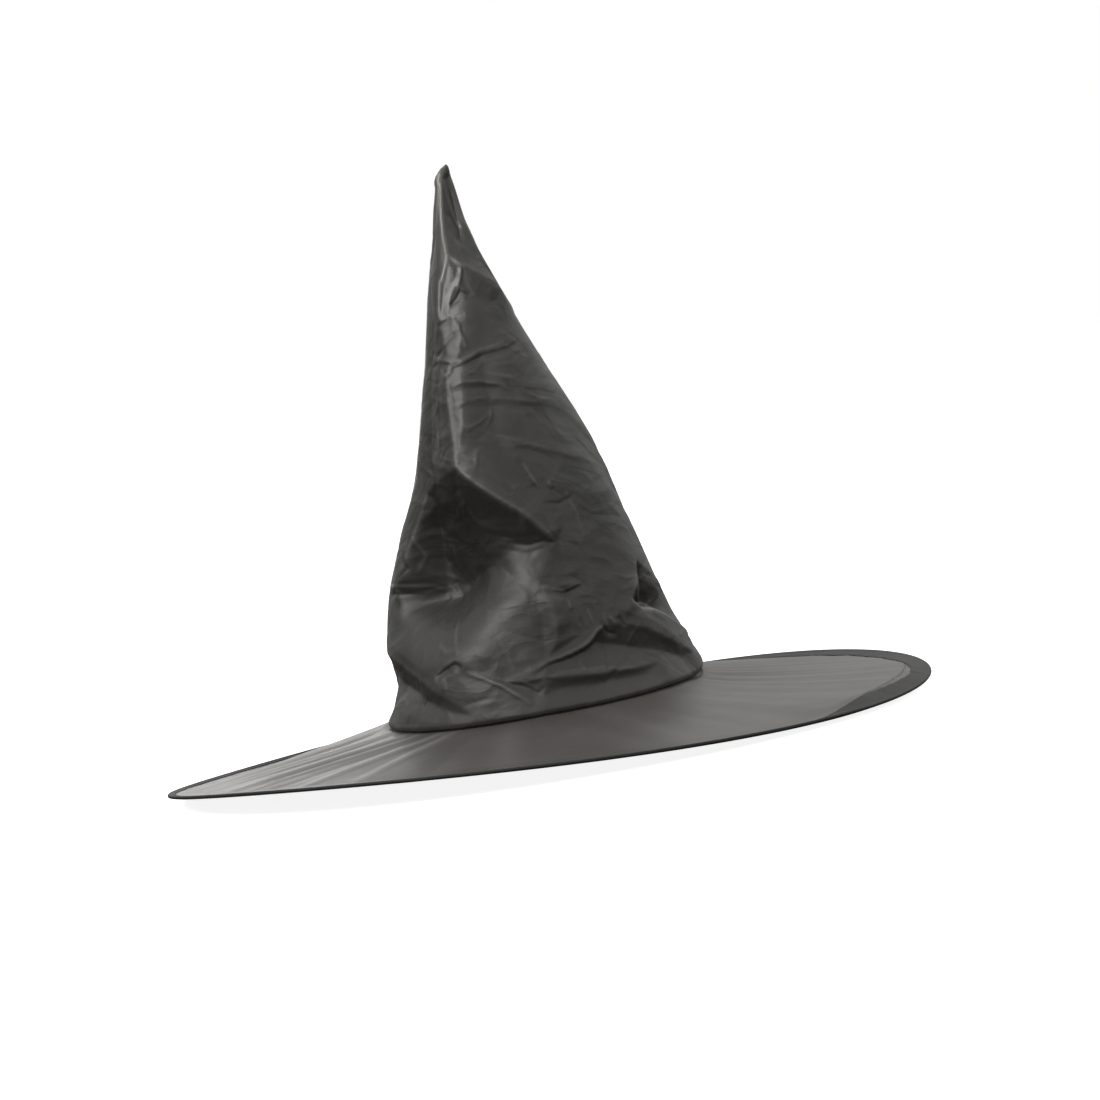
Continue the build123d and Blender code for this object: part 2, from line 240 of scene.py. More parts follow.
# Fine creases: (height, width on the left of the line, width on its right, marks as angle, height).
# A line's left is the side on the left hand when going along its marks, seen from outside.
FINE_CREASES = [
    (-0.3, 1, 1.4, [(-50, 300), (-6, 301), (24, 303)]),
    (1, 2.6, 2, [(-14, 304), (-18, 290), (-20, 272), (-15, 259)]),
    (-1.3, 3.2, 1.4, [(-6, 284), (10, 281), (25, 275), (20, 268)]),
    (0.6, 1.6, 4, [(-6, 273), (16, 264), (50, 254)]),
    (0.8, 6, 1.6, [(-15, 260), (12, 252), (41, 243), (60, 238)]),
    (0.9, 2.4, 3, [(-15, 259), (-30, 246), (-38, 226)]),
    (-1.1, 1.4, 4, [(-21, 231), (-12, 234), (-4, 239)]),
    (-0.6, 0.9, 3, [(-6, 239), (6, 235), (20, 232)]),
    (1, 1.6, 3.4, [(4, 252), (0, 246), (-7, 240)]),
    (-0.8, 1.4, 3.4, [(-40, 221), (-24, 223), (-4, 225)]),
    (0.7, 3, 3, [(-52, 204.5), (-36, 201), (-24, 199.5), (-15, 201)]),
    (-1.1, 3.5, 2, [(-54, 205), (-42, 203), (-34, 205)]),
    (-1, 1, 3.6, [(-29, 193.5), (-17, 195.5), (4, 199.5), (33, 202), (50, 205)]),
    (1, 2.4, 4, [(-27, 196.5), (-16, 198.5), (4, 203), (30, 205.5)]),
    (-0.8, 3, 1.6, [(-54, 197), (-41, 198.5)]),
    (0.8, 1.8, 3, [(-36, 196), (-29, 191.5), (-22, 194)]),
    (-0.9, 1.6, 3, [(-31, 199), (-22, 197), (-14, 199)]),
    (0.9, 4, 1.8, [(-25, 184), (-13, 186), (0, 185), (14, 182), (22, 177)]),
    (-0.6, 0.9, 3.4, [(-26, 181.5), (-13, 183), (0, 182), (13, 179)]),
    (0.5, 6, 2.6, [(-18, 178), (11, 174), (40, 168), (63, 163)]),
    (-0.35, 1.6, 3, [(-18, 173), (10, 170), (34, 166)]),
    (0.6, 7, 3, [(-20, 163), (5, 153), (29, 143), (50, 134), (75, 126)]),
    (-0.6, 2.6, 5, [(-21, 156), (4, 148), (28, 139), (39, 132)]),
    (0.9, 1.2, 3.6, [(15, 136), (17, 128), (20, 120)]),
    (0.6, 1.4, 3, [(-16, 160), (-6, 163), (4, 168)]),
    (0.6, 1.6, 2.6, [(-4, 158), (2, 164), (3, 170)]),
    (0.5, 1.4, 3, [(-10, 192), (6, 190), (22, 186), (36, 184)]),
    (0.5, 2, 3, [(30, 176), (44, 170), (58, 168)]),
    (0.5, 1.6, 3.4, [(34, 116), (36, 102), (35, 88)]),
    (-0.5, 1.4, 2.6, [(18, 112), (28, 110), (38, 113)]),
    (0.7, 1.6, 3, [(25, 124), (27, 119)]),
    (0.8, 2, 5, [(-22, 226), (-12, 219), (-10, 211), (-16, 205)]),
    (-0.8, 1.6, 4, [(-31, 211), (-20, 214), (-8, 216)]),
    (0.6, 1.6, 3, [(-9, 213), (-7, 205)]),
    (0.6, 2, 5, [(-8, 243), (-18, 236), (-26, 224)]),
    (0.9, 1.4, 2.4, [(-88, 76), (-74, 77), (-62, 74), (-57, 70)]),
    (-0.9, 1.6, 2.4, [(-86, 72), (-74, 72.5), (-64, 70)]),
    (0.8, 2, 2, [(-66, 104), (-62, 92), (-66, 82)]),
    (-0.9, 1.6, 2.6, [(-72, 98), (-69, 86), (-74, 80)]),
    (-1.5, 1.2, 5, [(-41, 27), (-36, 31), (-31.5, 33.5), (-28, 31.5)]),
    (0.8, 3, 3, [(-36, 56), (-33, 47), (-30, 37)]),
    (0.7, 2, 4, [(-42, 44), (-36, 40), (-31, 40)]),
    (-1.4, 0.9, 3, [(10, 63.5), (17, 60), (26, 63)]),
    (0.9, 2, 2, [(18, 57), (18, 51)]),
    (0.7, 1.4, 2.6, [(25, 50), (26, 40)]),
    (-0.7, 1.2, 2.6, [(21, 46), (22, 38)]),
    (-1.4, 1.2, 3, [(29, 42), (31, 36), (34, 34)]),
    (1.2, 1.4, 2.6, [(33, 44), (35, 38)]),
    (-1.2, 1.4, 2.2, [(37, 43), (38.5, 37)]),
    (0.5, 1.6, 3, [(6, 21), (23, 19), (40, 13)]),
    (-0.5, 1.6, 2, [(28, 31), (26, 22), (25, 16)]),
    (0.5, 1.6, 2.4, [(16, 25), (17, 19)]),
    (-0.6, 1.4, 2.6, [(80, 20), (84, 21), (90, 19)]),
    (0.7, 3, 1.6, [(-70, 14), (-64, 16), (-58, 13)]),
    (-0.9, 1.6, 2, [(-50, 17), (-49, 12), (-47, 16)]),
    (0.9, 2.2, 1.6, [(-27, 27.5), (-20, 24), (-13, 18.5), (-3, 6)]),
    (0.8, 1.2, 1.2, [(-13, 20), (-5.5, 18.6), (2, 10)]),
    (-0.8, 1.2, 2.6, [(0, 92), (8, 90), (16, 91)]),
    (0.6, 2, 5, [(-47, 174), (-40, 160), (-38, 146)]),
    (0.8, 2, 3.4, [(120, 236), (134, 231), (152, 233), (168, 228)]),
    (-0.9, 1.6, 4, [(-170, 232), (-156, 226), (-140, 229)]),
    (1, 2, 4, [(108, 196), (122, 192), (140, 195)]),
    (-0.9, 1.8, 3.4, [(-165, 186), (-176, 182), (172, 184)]),
    (0.8, 1.8, 3.4, [(-130, 180), (-142, 176), (-158, 178)]),
    (0.9, 2, 4, [(118, 142), (112, 122), (118, 106)]),
    (-1, 1.6, 3, [(152, 110), (140, 98), (126, 96)]),
    (0.9, 2, 4, [(-108, 150), (-114, 134), (-110, 118)]),
    (-1, 1.6, 4, [(158, 62), (146, 56), (134, 60)]),
    (1, 1.6, 3, [(-176, 56), (-162, 52), (-148, 58)]),
    (0.9, 1.6, 3, [(112, 26), (122, 22), (132, 26)]),
    (-0.9, 1.6, 3, [(-112, 40), (-120, 36), (-130, 32)]),
]

ROUNDINGS = (0.55, 3.0, 7.0)  # mm over which sharp, middling and soft folds are rounded
FACETS = ((34, 0.9), (15, 0.30), (7, 0.10))  # widths and heights of the random facets
CALM = 0.85  # share of the random facets and creases that the softest cloth is spared
PALE_WIDTH, PALE_RISE = 1.6, 0.5  # a fold this narrow that stands out this far is wholly pale: a whitened crease with a painted highlight
PAINTED_FOOT_HIGHLIGHT, PAINTED_FOOT_HIGHLIGHT_UP = 0.3, 16  # how strongly a painted highlight lightens the cloth at the base seam, and how far up it reaches

# Small random creases: how many, and the ranges of their lengths, widths to a side and heights.
SMALL_CREASES = 300
CREASE_LENGTHS, CREASE_WIDTHS, CREASE_RISES = (6, 30), (0.9, 3.2), (0.16, 0.5)
CREASE_SLANT, CREASE_BEND = (-8, 28), 0.12  # mean and spread in degrees; spread of the bend
CREASE_LOWEST, CREASE_LEAST_RADIUS = 3, 12  # none lies lower, or where the crown is narrower

# Angles on both sides out to which marks are repeated, so that the layers close at the back.
FOLD_WRAP, FACET_WRAP = 240, 230


def cone(height):
    """Radius of the plain crown, with its blunt end."""
    straight = CROWN_RADIUS - SLOPE * height
    end = TIP_RADIUS * np.cbrt(np.clip(1 - ((height - SHOULDER) / (CLOTH_TOP - SHOULDER)) ** 3, 0, 1))
    return np.where(height < SHOULDER, straight, end)


# The crown's grid, with the radii kept wide enough at the tip to measure along the cloth.
ANGLES = np.arange(COLUMNS) * 360 / COLUMNS - 180
HEIGHTS = np.linspace(0, CLOTH_TOP, ROWS)
RADII = cone(HEIGHTS)
ROOM = np.maximum(RADII, TIP_RADIUS)


def covered(line, low, high):
    """Part of a rising line of numbers that lies from low to high."""
    return slice(np.searchsorted(line, low), np.searchsorted(line, high, "right"))


def spread(spots, edges, values):
    """Values given at scattered (angle, height) spots, spread flat between them over the grid.

    edges are pairs of spots whose line stays whole as a crease; no two of the lines may cross.
    Returns one layer for each value."""
    vectors = [Vector(spot) for spot in spots]
    flat, _, faces, origin, _, _ = geometry.delaunay_2d_cdt(vectors, edges, [], 0, 1e-4)
    known = np.array([values[o[0]] for o in origin], float)
    place = np.array([p[:] for p in flat], float)
    layers = np.zeros((ROWS, COLUMNS, known.shape[1]))
    for face in faces:
        a, b, c = corners = place[list(face)]
        (low_a, low_u), (high_a, high_u) = corners.min(0), corners.max(0)
        rows, columns = covered(HEIGHTS, low_u, high_u), covered(ANGLES, low_a, high_a)
        x, y = np.meshgrid(ANGLES[columns], HEIGHTS[rows])
        area = (b[0] - a[0]) * (c[1] - a[1]) - (c[0] - a[0]) * (b[1] - a[1])
        v = ((x - a[0]) * (c[1] - a[1]) - (c[0] - a[0]) * (y - a[1])) / area
        w = ((b[0] - a[0]) * (y - a[1]) - (x - a[0]) * (b[1] - a[1])) / area
        within = (v >= -1e-6) & (w >= -1e-6) & (v + w <= 1 + 1e-6)
        mix = np.stack([1 - v - w, v, w], -1) @ known[list(face)]
        layers[rows, columns][within] = mix[within]
    return np.moveaxis(layers, -1, 0)


def blur(layer, sigma):
    """Rounds a layer over sigma millimetres, round the hat and along its height."""
    waves = np.fft.rfftfreq(COLUMNS, 1 / COLUMNS)
    soft = np.exp(-0.5 * (waves * (sigma / ROOM)[:, None]) ** 2)
    layer = np.fft.irfft(np.fft.rfft(layer, axis=1) * soft, n=COLUMNS, axis=1)
    weight = np.exp(-0.5 * (np.subtract.outer(HEIGHTS, HEIGHTS) / sigma) ** 2)
    return (weight / weight.sum(1, keepdims=True)) @ layer


def crumple(random, size, height):
    """Random flat facets, like those of cloth that was squeezed, about size millimetres wide."""
    count = int(math.pi * CROWN_RADIUS * CROWN_TOP / size ** 2)
    up = CROWN_TOP * (1 - np.sqrt(random.random(count)))
    turn = random.random(count) * 360 - 180
    value = random.normal(0, height, count)
    spots, values = [], []
    for t, u, v in zip(turn, up, value):
        for shift in (-360, 0, 360):
            if -FACET_WRAP < t + shift < FACET_WRAP:
                spots.append((t + shift, u))
                values.append([v])
    for t in range(-FACET_WRAP, FACET_WRAP + 1, 20):
        spots += [(t, -size), (t, CROWN_TOP + size)]
        values += [[0], [0]]
    return spread(spots, [], values)[0]


def line_crease(layer, rise, left, right, marks):
    """Adds one fine crease: a ridge along its marks that falls away over left and right."""
    reach = max(left, right) + 1
    ups = [h for _, h in marks]
    rows = (HEIGHTS > min(ups) - reach) & (HEIGHTS < max(ups) + reach)
    heights, radii = HEIGHTS[rows], ROOM[rows]
    best = np.full((len(heights), COLUMNS), 1e9)
    side, along = np.zeros_like(best), np.zeros_like(best)
    length = 0.0
    for a, b in zip(marks, marks[1:]):
        scale = np.radians(np.interp(a[1], heights, radii))
        x = ((ANGLES - a[0] + 180) % 360 - 180) * np.radians(radii)[:, None]
        y = (heights - a[1])[:, None] + 0 * x
        dx, dy = ((b[0] - a[0] + 180) % 360 - 180) * scale, b[1] - a[1]
        piece = math.hypot(dx, dy)
        t = np.clip((x * dx + y * dy) / piece ** 2, 0, 1)
        away = np.hypot(x - t * dx, y - t * dy)
        nearer = away < best
        best = np.where(nearer, away, best)
        side = np.where(nearer, dx * y - dy * x, side)
        along = np.where(nearer, length + t * piece, along)
        length += math.hypot((b[0] - a[0]) * scale, dy)
    width = np.where(side > 0, left, right)
    fall = np.clip(1 - np.sqrt(best ** 2 + 0.16) / width, 0, 1) ** 1.5
    layer[rows] += rise * fall * np.sin(np.clip(along / length, 0, 1) * math.pi) ** 0.5


def small_creases(random):
    """Short faint creases all over, most of them lying round the crown."""
    made = []
    while len(made) < SMALL_CREASES:
        height = CROWN_TOP * (1 - math.sqrt(random.random()))
        radius = CROWN_RADIUS - SLOPE * height
        if radius < CREASE_LEAST_RADIUS:
            continue
        turn = random.uniform(-180, 180)
        length = random.uniform(*CREASE_LENGTHS) * min(1.0, radius / 40)
        slant = math.radians(random.normal(*CREASE_SLANT))
        bend = random.normal(0, CREASE_BEND)
        marks = []
        for share in (-0.5, 0, 0.5):
            along = share * length
            off = bend * length * (1 - 4 * share * share)
            across = along * math.cos(slant) - off * math.sin(slant)
            up = along * math.sin(slant) + off * math.cos(slant)
            marks.append((turn + math.degrees(across / radius), height + up))
        if min(h for _, h in marks) < CREASE_LOWEST:
            continue
        rise = random.choice((-1, 1)) * random.uniform(*CREASE_RISES)
        made.append((rise, random.uniform(*CREASE_WIDTHS), random.uniform(*CREASE_WIDTHS), marks))
    return made


def crown_layers():
    """How far each point of the crown's grid is pushed out, and how pale its cloth is painted (0 to 1):
    whitened creases and painted highlights along its ridges, and a painted highlight at the base seam.
    """
    folds = [("left", 0.2, LEFT_SEAM), ("right", 0.2, RIGHT_SEAM)] + FRONT_FOLDS + BACK_FOLDS
    spots, values, edges = [], [], []
    for _, softness, marks in folds:
        for shift in (-360, 0, 360):
            line = []
            for a, h, _ in marks:
                last = line[-1][0] if line else a + shift
                line.append((a + shift + 360 * round((last - a - shift) / 360), h))
            if not any(-FOLD_WRAP < a < FOLD_WRAP for a, _ in line):
                continue
            edges += [(i, i + 1) for i in range(len(spots), len(spots) + len(line) - 1)]
            spots += line
            values += [[p, softness] for _, _, p in marks]
    for a in range(-330, 331, 20):
        spots += [(a, -6), (a + 10, 304), (a, CROWN_TOP + 5)]
        values += [[0, 0], [-0.4, 0.2], [0, 0.2]]
    push, softness = spread(spots, edges, values)
    crisp, medium, smooth = (blur(push, size) for size in ROUNDINGS)
    softness = blur(softness, ROUNDINGS[1])
    first, second = np.clip(softness * 2, 0, 1), np.clip(softness * 2 - 1, 0, 1)
    push = crisp + (medium - crisp) * first + (smooth - medium) * second
    random = np.random.default_rng(SEED)
    fine = sum(blur(crumple(random, size, height), 0.5) for size, height in FACETS)
    for crease in small_creases(random):
        line_crease(fine, *crease)
    push += fine * (1 - CALM * softness)
    for crease in FINE_CREASES:
        line_crease(push, *crease)
    # Ridges that stand out are painted paler: partly whitened creases, partly painted highlights on their
    # edges.
    pale = np.clip((push - blur(push, PALE_WIDTH)) / PALE_RISE, 0, 1)
    # The base seam gets a painted highlight that fades upward.
    return push, np.maximum(pale, PAINTED_FOOT_HIGHLIGHT * np.exp(-(HEIGHTS[:, None] / PAINTED_FOOT_HIGHLIGHT_UP) ** 2))


def seam_height(a):
    """Height of the base seam at an angle from the front, in radians."""
    return -SEAM_DIP * np.cos(a) - SEAM_DIP_LEFT * np.clip(-np.sin(a), 0, 1)


def crown_point(angle, height, radius):
    """Places a point of the crown in the row frame, with its lean and the dip of its seam."""
    a = np.radians(angle)
    fade = np.clip(1 - height / SEAM_FADE, 0, 1)
    x = radius * np.sin(a) - LEAN_LEFT * height
    y = -radius * np.cos(a) - LEAN_FRONT * height
    slant = TIP_SLANT * np.clip((height - SLANT_FROM) / SLANT_OVER, 0, 1) * radius * np.sin(a)
    return np.stack([x, y, height + seam_height(a) * fade + slant], -1) * MM


def round_point(a, r, z):
    """Places points in the row frame by angle from the front in radians, radius and height."""
    return np.stack([r * np.sin(a), -r * np.cos(a), z + 0 * a], -1) * MM


# ------------------------ meshes

def smooth_piece(name, vertices, faces, material):
    """A smooth-shaded piece with its material, linked to the scene."""
    mesh = bpy.data.meshes.new(name)
    mesh.from_pydata(vertices, [], faces)
    mesh.polygons.foreach_set("use_smooth", [True] * len(mesh.polygons))
    mesh.materials.append(material)
    piece = bpy.data.objects.new(name, mesh)
    bpy.context.scene.collection.objects.link(piece)
    return piece


def grid_piece(name, points, flat, material, closed=False, cap=False):
    """A piece from rows of points and their places in the flat cloth.

    closed joins the last column to the first, and cap closes the last row to a point."""
    rows, columns = points.shape[:2]
    index = np.arange(rows * columns).reshape(rows, columns)
    if closed:
        index = np.concatenate([index, index[:, :1]], 1)
    corners = index[:-1, :-1], index[:-1, 1:], index[1:, 1:], index[1:, :-1]
    faces = np.stack(corners, -1).reshape(-1, 4).tolist()
    vertices = points.reshape(-1, 3).tolist()
    if cap:
        vertices.append(points[-1].mean(0).tolist())
        top = index[-1]
        faces += [(int(a), int(b), len(vertices) - 1) for a, b in zip(top, top[1:])]
    piece = smooth_piece(name, vertices, faces, material)
    mesh = piece.data
    loops = np.zeros(len(mesh.loops), np.int32)
    mesh.loops.foreach_get("vertex_index", loops)
    spots = np.concatenate([flat.reshape(-1, 2), flat[-1, -1:]])
    mesh.uv_layers.new(name="cloth").data.foreach_set("uv", spots[loops].astype(np.float32).ravel())
    mesh.validate()
    return piece


def over_grid(u, v):
    """Flat coordinates of a sheet in metres, from its lengths across and up in millimetres."""
    return np.stack(np.broadcast_arrays(u, v), -1) * MM


def paint_pale_and_highlit_folds(piece, pale):
    """Notes on a piece how pale its folds are painted, from 0 to 1: whitened creases and painted highlights.
    """
    values = np.zeros(len(piece.data.vertices), np.float32)
    values[:pale.size] = pale.ravel()
    piece.data.attributes.new("pale_folds_and_painted_highlights", "FLOAT", "POINT").data.foreach_set("value", values)


def thicken(piece, thickness, offset):
    """Gives a sheet its thickness, with closed edges."""
    solid = piece.modifiers.new("thickness", "SOLIDIFY")
    solid.thickness = thickness * MM
    solid.offset = offset
    solid.use_rim = True
    graph = bpy.context.evaluated_depsgraph_get()
    mesh = bpy.data.meshes.new_from_object(piece.evaluated_get(graph))
    piece.modifiers.clear()
    old = piece.data
    piece.data = mesh
    bpy.data.meshes.remove(old)
    mesh.name = piece.name


def fit(piece, node, thickness=0, offset=0):
    """Puts a piece on the hat's body in place of a CAD node, and thickens it if a thickness is given."""
    if thickness:
        thicken(piece, thickness, offset)
    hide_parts(node)
    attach(piece, "hat")
    return piece


def bend(piece):
    """Bakes a piece's transform into its mesh."""
    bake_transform(piece)


# ------------------------ materials

class Nodes:
    """Small helper that adds and links shader nodes in a material, or in the world."""

    def __init__(self, name, kind=bpy.data.materials, shader="Principled BSDF"):
        self.owner = kind.new(name)
        self.owner.use_nodes = True
        self.tree = self.owner.node_tree
        self.shader = self.tree.nodes[shader]

    def put(self, socket, value):
        """Sets a socket to a number or a colour, or links another node's output to it."""
        if isinstance(value, bpy.types.NodeSocket):
            self.tree.links.new(value, socket)
        else:
            socket.default_value = value

    def look(self, *inputs):
        """Sets sockets of the main shader: (socket, value or another node's output) pairs."""
        for socket, value in inputs:
            self.put(self.shader.inputs[socket], value)

    def add(self, kind, inputs=(), **settings):
        """Adds a node; inputs are (socket, value or another node's output) pairs."""
        node = self.tree.nodes.new(kind)
        for key, value in settings.items():
            setattr(node, key, value)
        for socket, value in inputs:
            self.put(node.inputs[socket], value)
        return node

    def mapped(self, scale=(1, 1, 1)):
        """The cloth's own flat coordinates, stretched."""
        flat = self.add("ShaderNodeUVMap", uv_map="cloth").outputs[0]
        return self.add("ShaderNodeMapping", [("Vector", flat), ("Scale", scale)]).outputs[0]

    def noise(self, vector, scale=1.0, detail=2.0, rough=0.6):
        inputs = [("Vector", vector), ("Scale", scale), ("Detail", detail), ("Roughness", rough)]
        return self.add("ShaderNodeTexNoise", inputs).outputs["Fac"]

    def cells(self, vector, scale, feature="F1"):
        inputs = [("Vector", vector), ("Scale", scale)]
        return self.add("ShaderNodeTexVoronoi", inputs, feature=feature).outputs["Distance"]

    def ramp(self, value, low, high, to_low, to_high, kind="LINEAR"):
        sockets = ("Value", "From Min", "From Max", "To Min", "To Max")
        inputs = zip(sockets, (value, low, high, to_low, to_high))
        return self.add("ShaderNodeMapRange", inputs, interpolation_type=kind).outputs[0]

    def maths(self, operation, a, b, kind="ShaderNodeMath"):
        return self.add(kind, [(0, a), (1, b)], operation=operation).outputs[0]

    def bump(self, height, strength, distance=0.0001, normal=None):
        inputs = [("Height", height), ("Strength", strength), ("Distance", distance)]
        if normal is not None:
            inputs.append(("Normal", normal))
        return self.add("ShaderNodeBump", inputs).outputs[0]

    def colours(self, value, first, second):
        """A mix of two colours; the first may be another node's output."""
        mix = self.add("ShaderNodeMix", data_type="RGBA")
        self.put(mix.inputs["Factor"], value)
        self.put(mix.inputs["A"], (*first, 1) if isinstance(first, tuple) else first)
        self.put(mix.inputs["B"], (*second, 1))
        return mix.outputs["Result"]


def taffeta(name, dark, light, roughness, sheen, crushed, through=0, through_colour=None, pale=None):
    """Thin satiny polyester: fine ribs across, slubs along them, and faint crush marks.

    through makes it slightly see-through; pale is the colour painted on its folds: partly whitened creases,
    partly painted highlights."""
    n = Nodes(name)
    ribs = n.noise(n.mapped((120, 2600, 1)))
    slubs = n.noise(n.mapped((26, 700, 1)), detail=3.0)
    threads = n.noise(n.mapped((2400, 90, 1)), detail=1.0, rough=0.5)
    patches = n.noise(n.mapped(), 14.0, 3.0, 0.55)
    warp = n.add("ShaderNodeTexNoise", [("Vector", n.mapped()), ("Scale", 30.0), ("Detail", 1.0)])
    push = n.maths("MULTIPLY", warp.outputs["Color"], (0.03, 0.03, 0), "ShaderNodeVectorMath")
    bent = n.maths("ADD", n.mapped((0.7, 1, 1)), push, "ShaderNodeVectorMath")
    crush, crumbs = n.cells(bent, 46.0), n.cells(bent, 130.0)
    cracks = n.ramp(n.cells(n.mapped((0.6, 1, 1)), 26.0, "DISTANCE_TO_EDGE"), 0.0, 0.04, 0.0, 1.0)
    tone = n.maths("MULTIPLY", n.ramp(patches, 0.3, 0.7, 0.0, 1.0), n.ramp(slubs, 0.3, 0.7, 0.75, 1.0))
    colour = n.colours(tone, dark, light)
    if pale:
        # Paler colour painted along the folds: whitened creases and painted highlights.
        folds = n.add("ShaderNodeAttribute", attribute_name="pale_folds_and_painted_highlights").outputs["Fac"]
        colour = n.colours(folds, colour, pale)
    fine = n.bump(n.maths("ADD", ribs, threads), 0.18, 0.00012)
    lumps = n.bump(slubs, 0.12, 0.0003, fine)
    crumbled = n.bump(crumbs, crushed, 0.0006, lumps)
    creased = n.bump(cracks, 0.3 * crushed, 0.0005, crumbled)
    n.look(("Base Color", colour),
           ("Roughness", n.ramp(patches, 0.3, 0.7, roughness - 0.05, roughness + 0.05)),
           ("Specular IOR Level", 0.55),
           ("Specular Tint", (1.0, 0.985, 0.94, 1)),
           ("Sheen Weight", sheen),
           ("Sheen Roughness", 0.35),
           ("Normal", n.bump(crush, crushed, 0.0026, creased)))
    if through:
        glow = n.add("ShaderNodeBsdfTranslucent", [("Color", (*through_colour, 1))]).outputs[0]
        mix = n.add("ShaderNodeMixShader", [(0, through), (1, n.shader.outputs[0]), (2, glow)])
        n.put(n.tree.nodes["Material Output"].inputs["Surface"], mix.outputs[0])
    return n.owner


def grained(name, dark, light, roughness, stretch, scale=1.0, detail=2.0, bump=0, fixed=()):
    """A plain material with a fine grain; roughness is a number, or a pair that the grain mixes.

    A stretch of None takes the object's own coordinates. fixed are more (socket, value) pairs."""
    n = Nodes(name)
    flat = n.mapped(stretch) if stretch else n.add("ShaderNodeTexCoord").outputs["Object"]
    grain = n.noise(flat, scale, detail)
    if isinstance(roughness, tuple):
        roughness = n.ramp(grain, 0.3, 0.7, *roughness)
    n.look(("Base Color", n.colours(grain, dark, light)), ("Roughness", roughness), *fixed)
    if bump:
        n.look(("Normal", n.bump(grain, bump)))
    return n.owner


def grosgrain(name, dark, light):
    """Tape with upright ribs about two millimetres apart."""
    n = Nodes(name)
    inputs = [("Vector", n.mapped()), ("Scale", 160.0), ("Distortion", 0.4)]
    ribs = n.add("ShaderNodeTexWave", inputs, bands_direction="X").outputs["Fac"]
    fuzz = n.noise(n.mapped(), 1800.0)
    n.look(("Base Color", n.colours(ribs, dark, light)), ("Roughness", 0.7),
           ("Normal", n.bump(fuzz, 0.3, normal=n.bump(ribs, 0.6, 0.0004))))
    return n.owner


# The crown's pale colour is painted along its ridges: whitened creases with painted highlights.
CROWN_CLOTH = taffeta("crown_taffeta", (0.0165, 0.0159, 0.0142), (0.0270, 0.0260, 0.0232), 0.48, 0.02, 0.5,
                      pale=(0.075, 0.072, 0.066))
# The brim's pale colour is painted along its folds as highlight streaks.
BRIM_CLOTH = taffeta("brim_taffeta", (0.067, 0.060, 0.056), (0.095, 0.087, 0.082), 0.44, 0.12, 0.10,
                     0.26, (0.40, 0.38, 0.37), (0.30, 0.29, 0.285))
BINDING_CLOTH = taffeta("binding_taffeta", (0.008, 0.0078, 0.0074), (0.014, 0.0136, 0.0130), 0.72, 0.0, 0.12)
THREAD = grained("thread", (0.012, 0.012, 0.012), (0.035, 0.034, 0.033), 0.75, None, 2600.0, bump=0.5)
TAPE = grosgrain("band_tape", (0.014, 0.014, 0.014), (0.04, 0.039, 0.038))
LABEL = grained("label_satin", (0.74, 0.73, 0.70), (0.86, 0.85, 0.82), 0.45, (300, 3000, 1), bump=0.3,
                fixed=[("Sheen Weight", 0.2)])
STEEL = grained("spring_wire", (0.30, 0.30, 0.31), (0.52, 0.52, 0.53), (0.28, 0.42), (8, 4000, 1),
                fixed=[("Metallic", 1.0)])
SLEEVE = grained("wire_sleeve", (0.02, 0.02, 0.02), (0.05, 0.05, 0.05), (0.45, 0.6), (1, 1, 1), 1500.0, 3.0,
                 0.2)


# ------------------------ crown

SEAM_GROOVE, SEAM_WIDTH = 0.7, 1.1  # depth and width of the grooves of the side seams
FOOT_GROOVE, FOOT_WIDTH = 1.4, 1.3  # the same for the base seam
LEAST_PUSH, LEAST_RADIUS = 0.15, 0.4  # share of its folds that the very tip keeps; its least radius
FOOT_HEIGHT, FOOT_GAP = 12, 1.2  # height of the crown's foot, and the gap kept inside it


def flat_cone(angle, height):
    """Where a point of the crown lay in the flat cut of its panel, in metres."""
    slant = math.hypot(1, SLOPE)
    reach = (CROWN_RADIUS / SLOPE - height) * slant
    turn = np.radians(angle) * SLOPE / slant
    return over_grid(reach * np.sin(turn), -reach * np.cos(turn))


def make_crown():
    """The front and back panels over the lower crown and the tip, and the crown's true radii."""
    push, pale = crown_layers()
    seam_gap = np.radians(np.abs(np.abs(ANGLES) - 90)) * ROOM[:, None]
    push = push - SEAM_GROOVE * np.exp(-(seam_gap / SEAM_WIDTH) ** 2)
    push = push - FOOT_GROOVE * np.exp(-(HEIGHTS[:, None] / FOOT_WIDTH) ** 2)
    kept = np.clip(RADII / TIP_RADIUS, LEAST_PUSH, 1)[:, None]
    rounds = np.maximum(RADII[:, None] + push * kept, LEAST_RADIUS)
    front = np.nonzero(np.abs(ANGLES) <= 90)[0]
    behind = np.concatenate([np.nonzero(ANGLES >= 90)[0], np.nonzero(ANGLES <= -90)[0]])
    made = []
    for name, columns, nodes, turn, skip in (
        ("crown_front", front, ("crown_front_panel", "crown_tip_front_panel"), 0, 1),
        ("crown_back", behind, ("crown_back_panel", "crown_tip_back_panel"), 180, 2),
    ):
        rows = np.union1d(np.arange(0, ROWS, skip), ROWS - 1)
        columns = columns[np.union1d(np.arange(0, len(columns), skip), len(columns) - 1)]
        a, up = ANGLES[columns][None, :], HEIGHTS[rows, None]
        points = crown_point(a, up, rounds[np.ix_(rows, columns)])
        flat = flat_cone((a - turn + 180) % 360 - 180, up)
        piece = grid_piece(name, points, flat, CROWN_CLOTH, cap=True)
        # Paints the paler folds: whitened creases and painted highlights.
        paint_pale_and_highlit_folds(piece, pale[np.ix_(rows, columns)])
        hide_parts(*nodes)
        made.append(piece)
    return made, rounds


crown_pieces, CROWN_ROUNDS = make_crown()


def inside(a):
    """Radius of the room inside the crown's foot at an angle from the front, in radians."""
    foot = CROWN_ROUNDS[HEIGHTS < FOOT_HEIGHT].min(0) - FOOT_GAP
    return np.interp(np.degrees(a), ANGLES, foot, period=360)


# ------------------------ brim

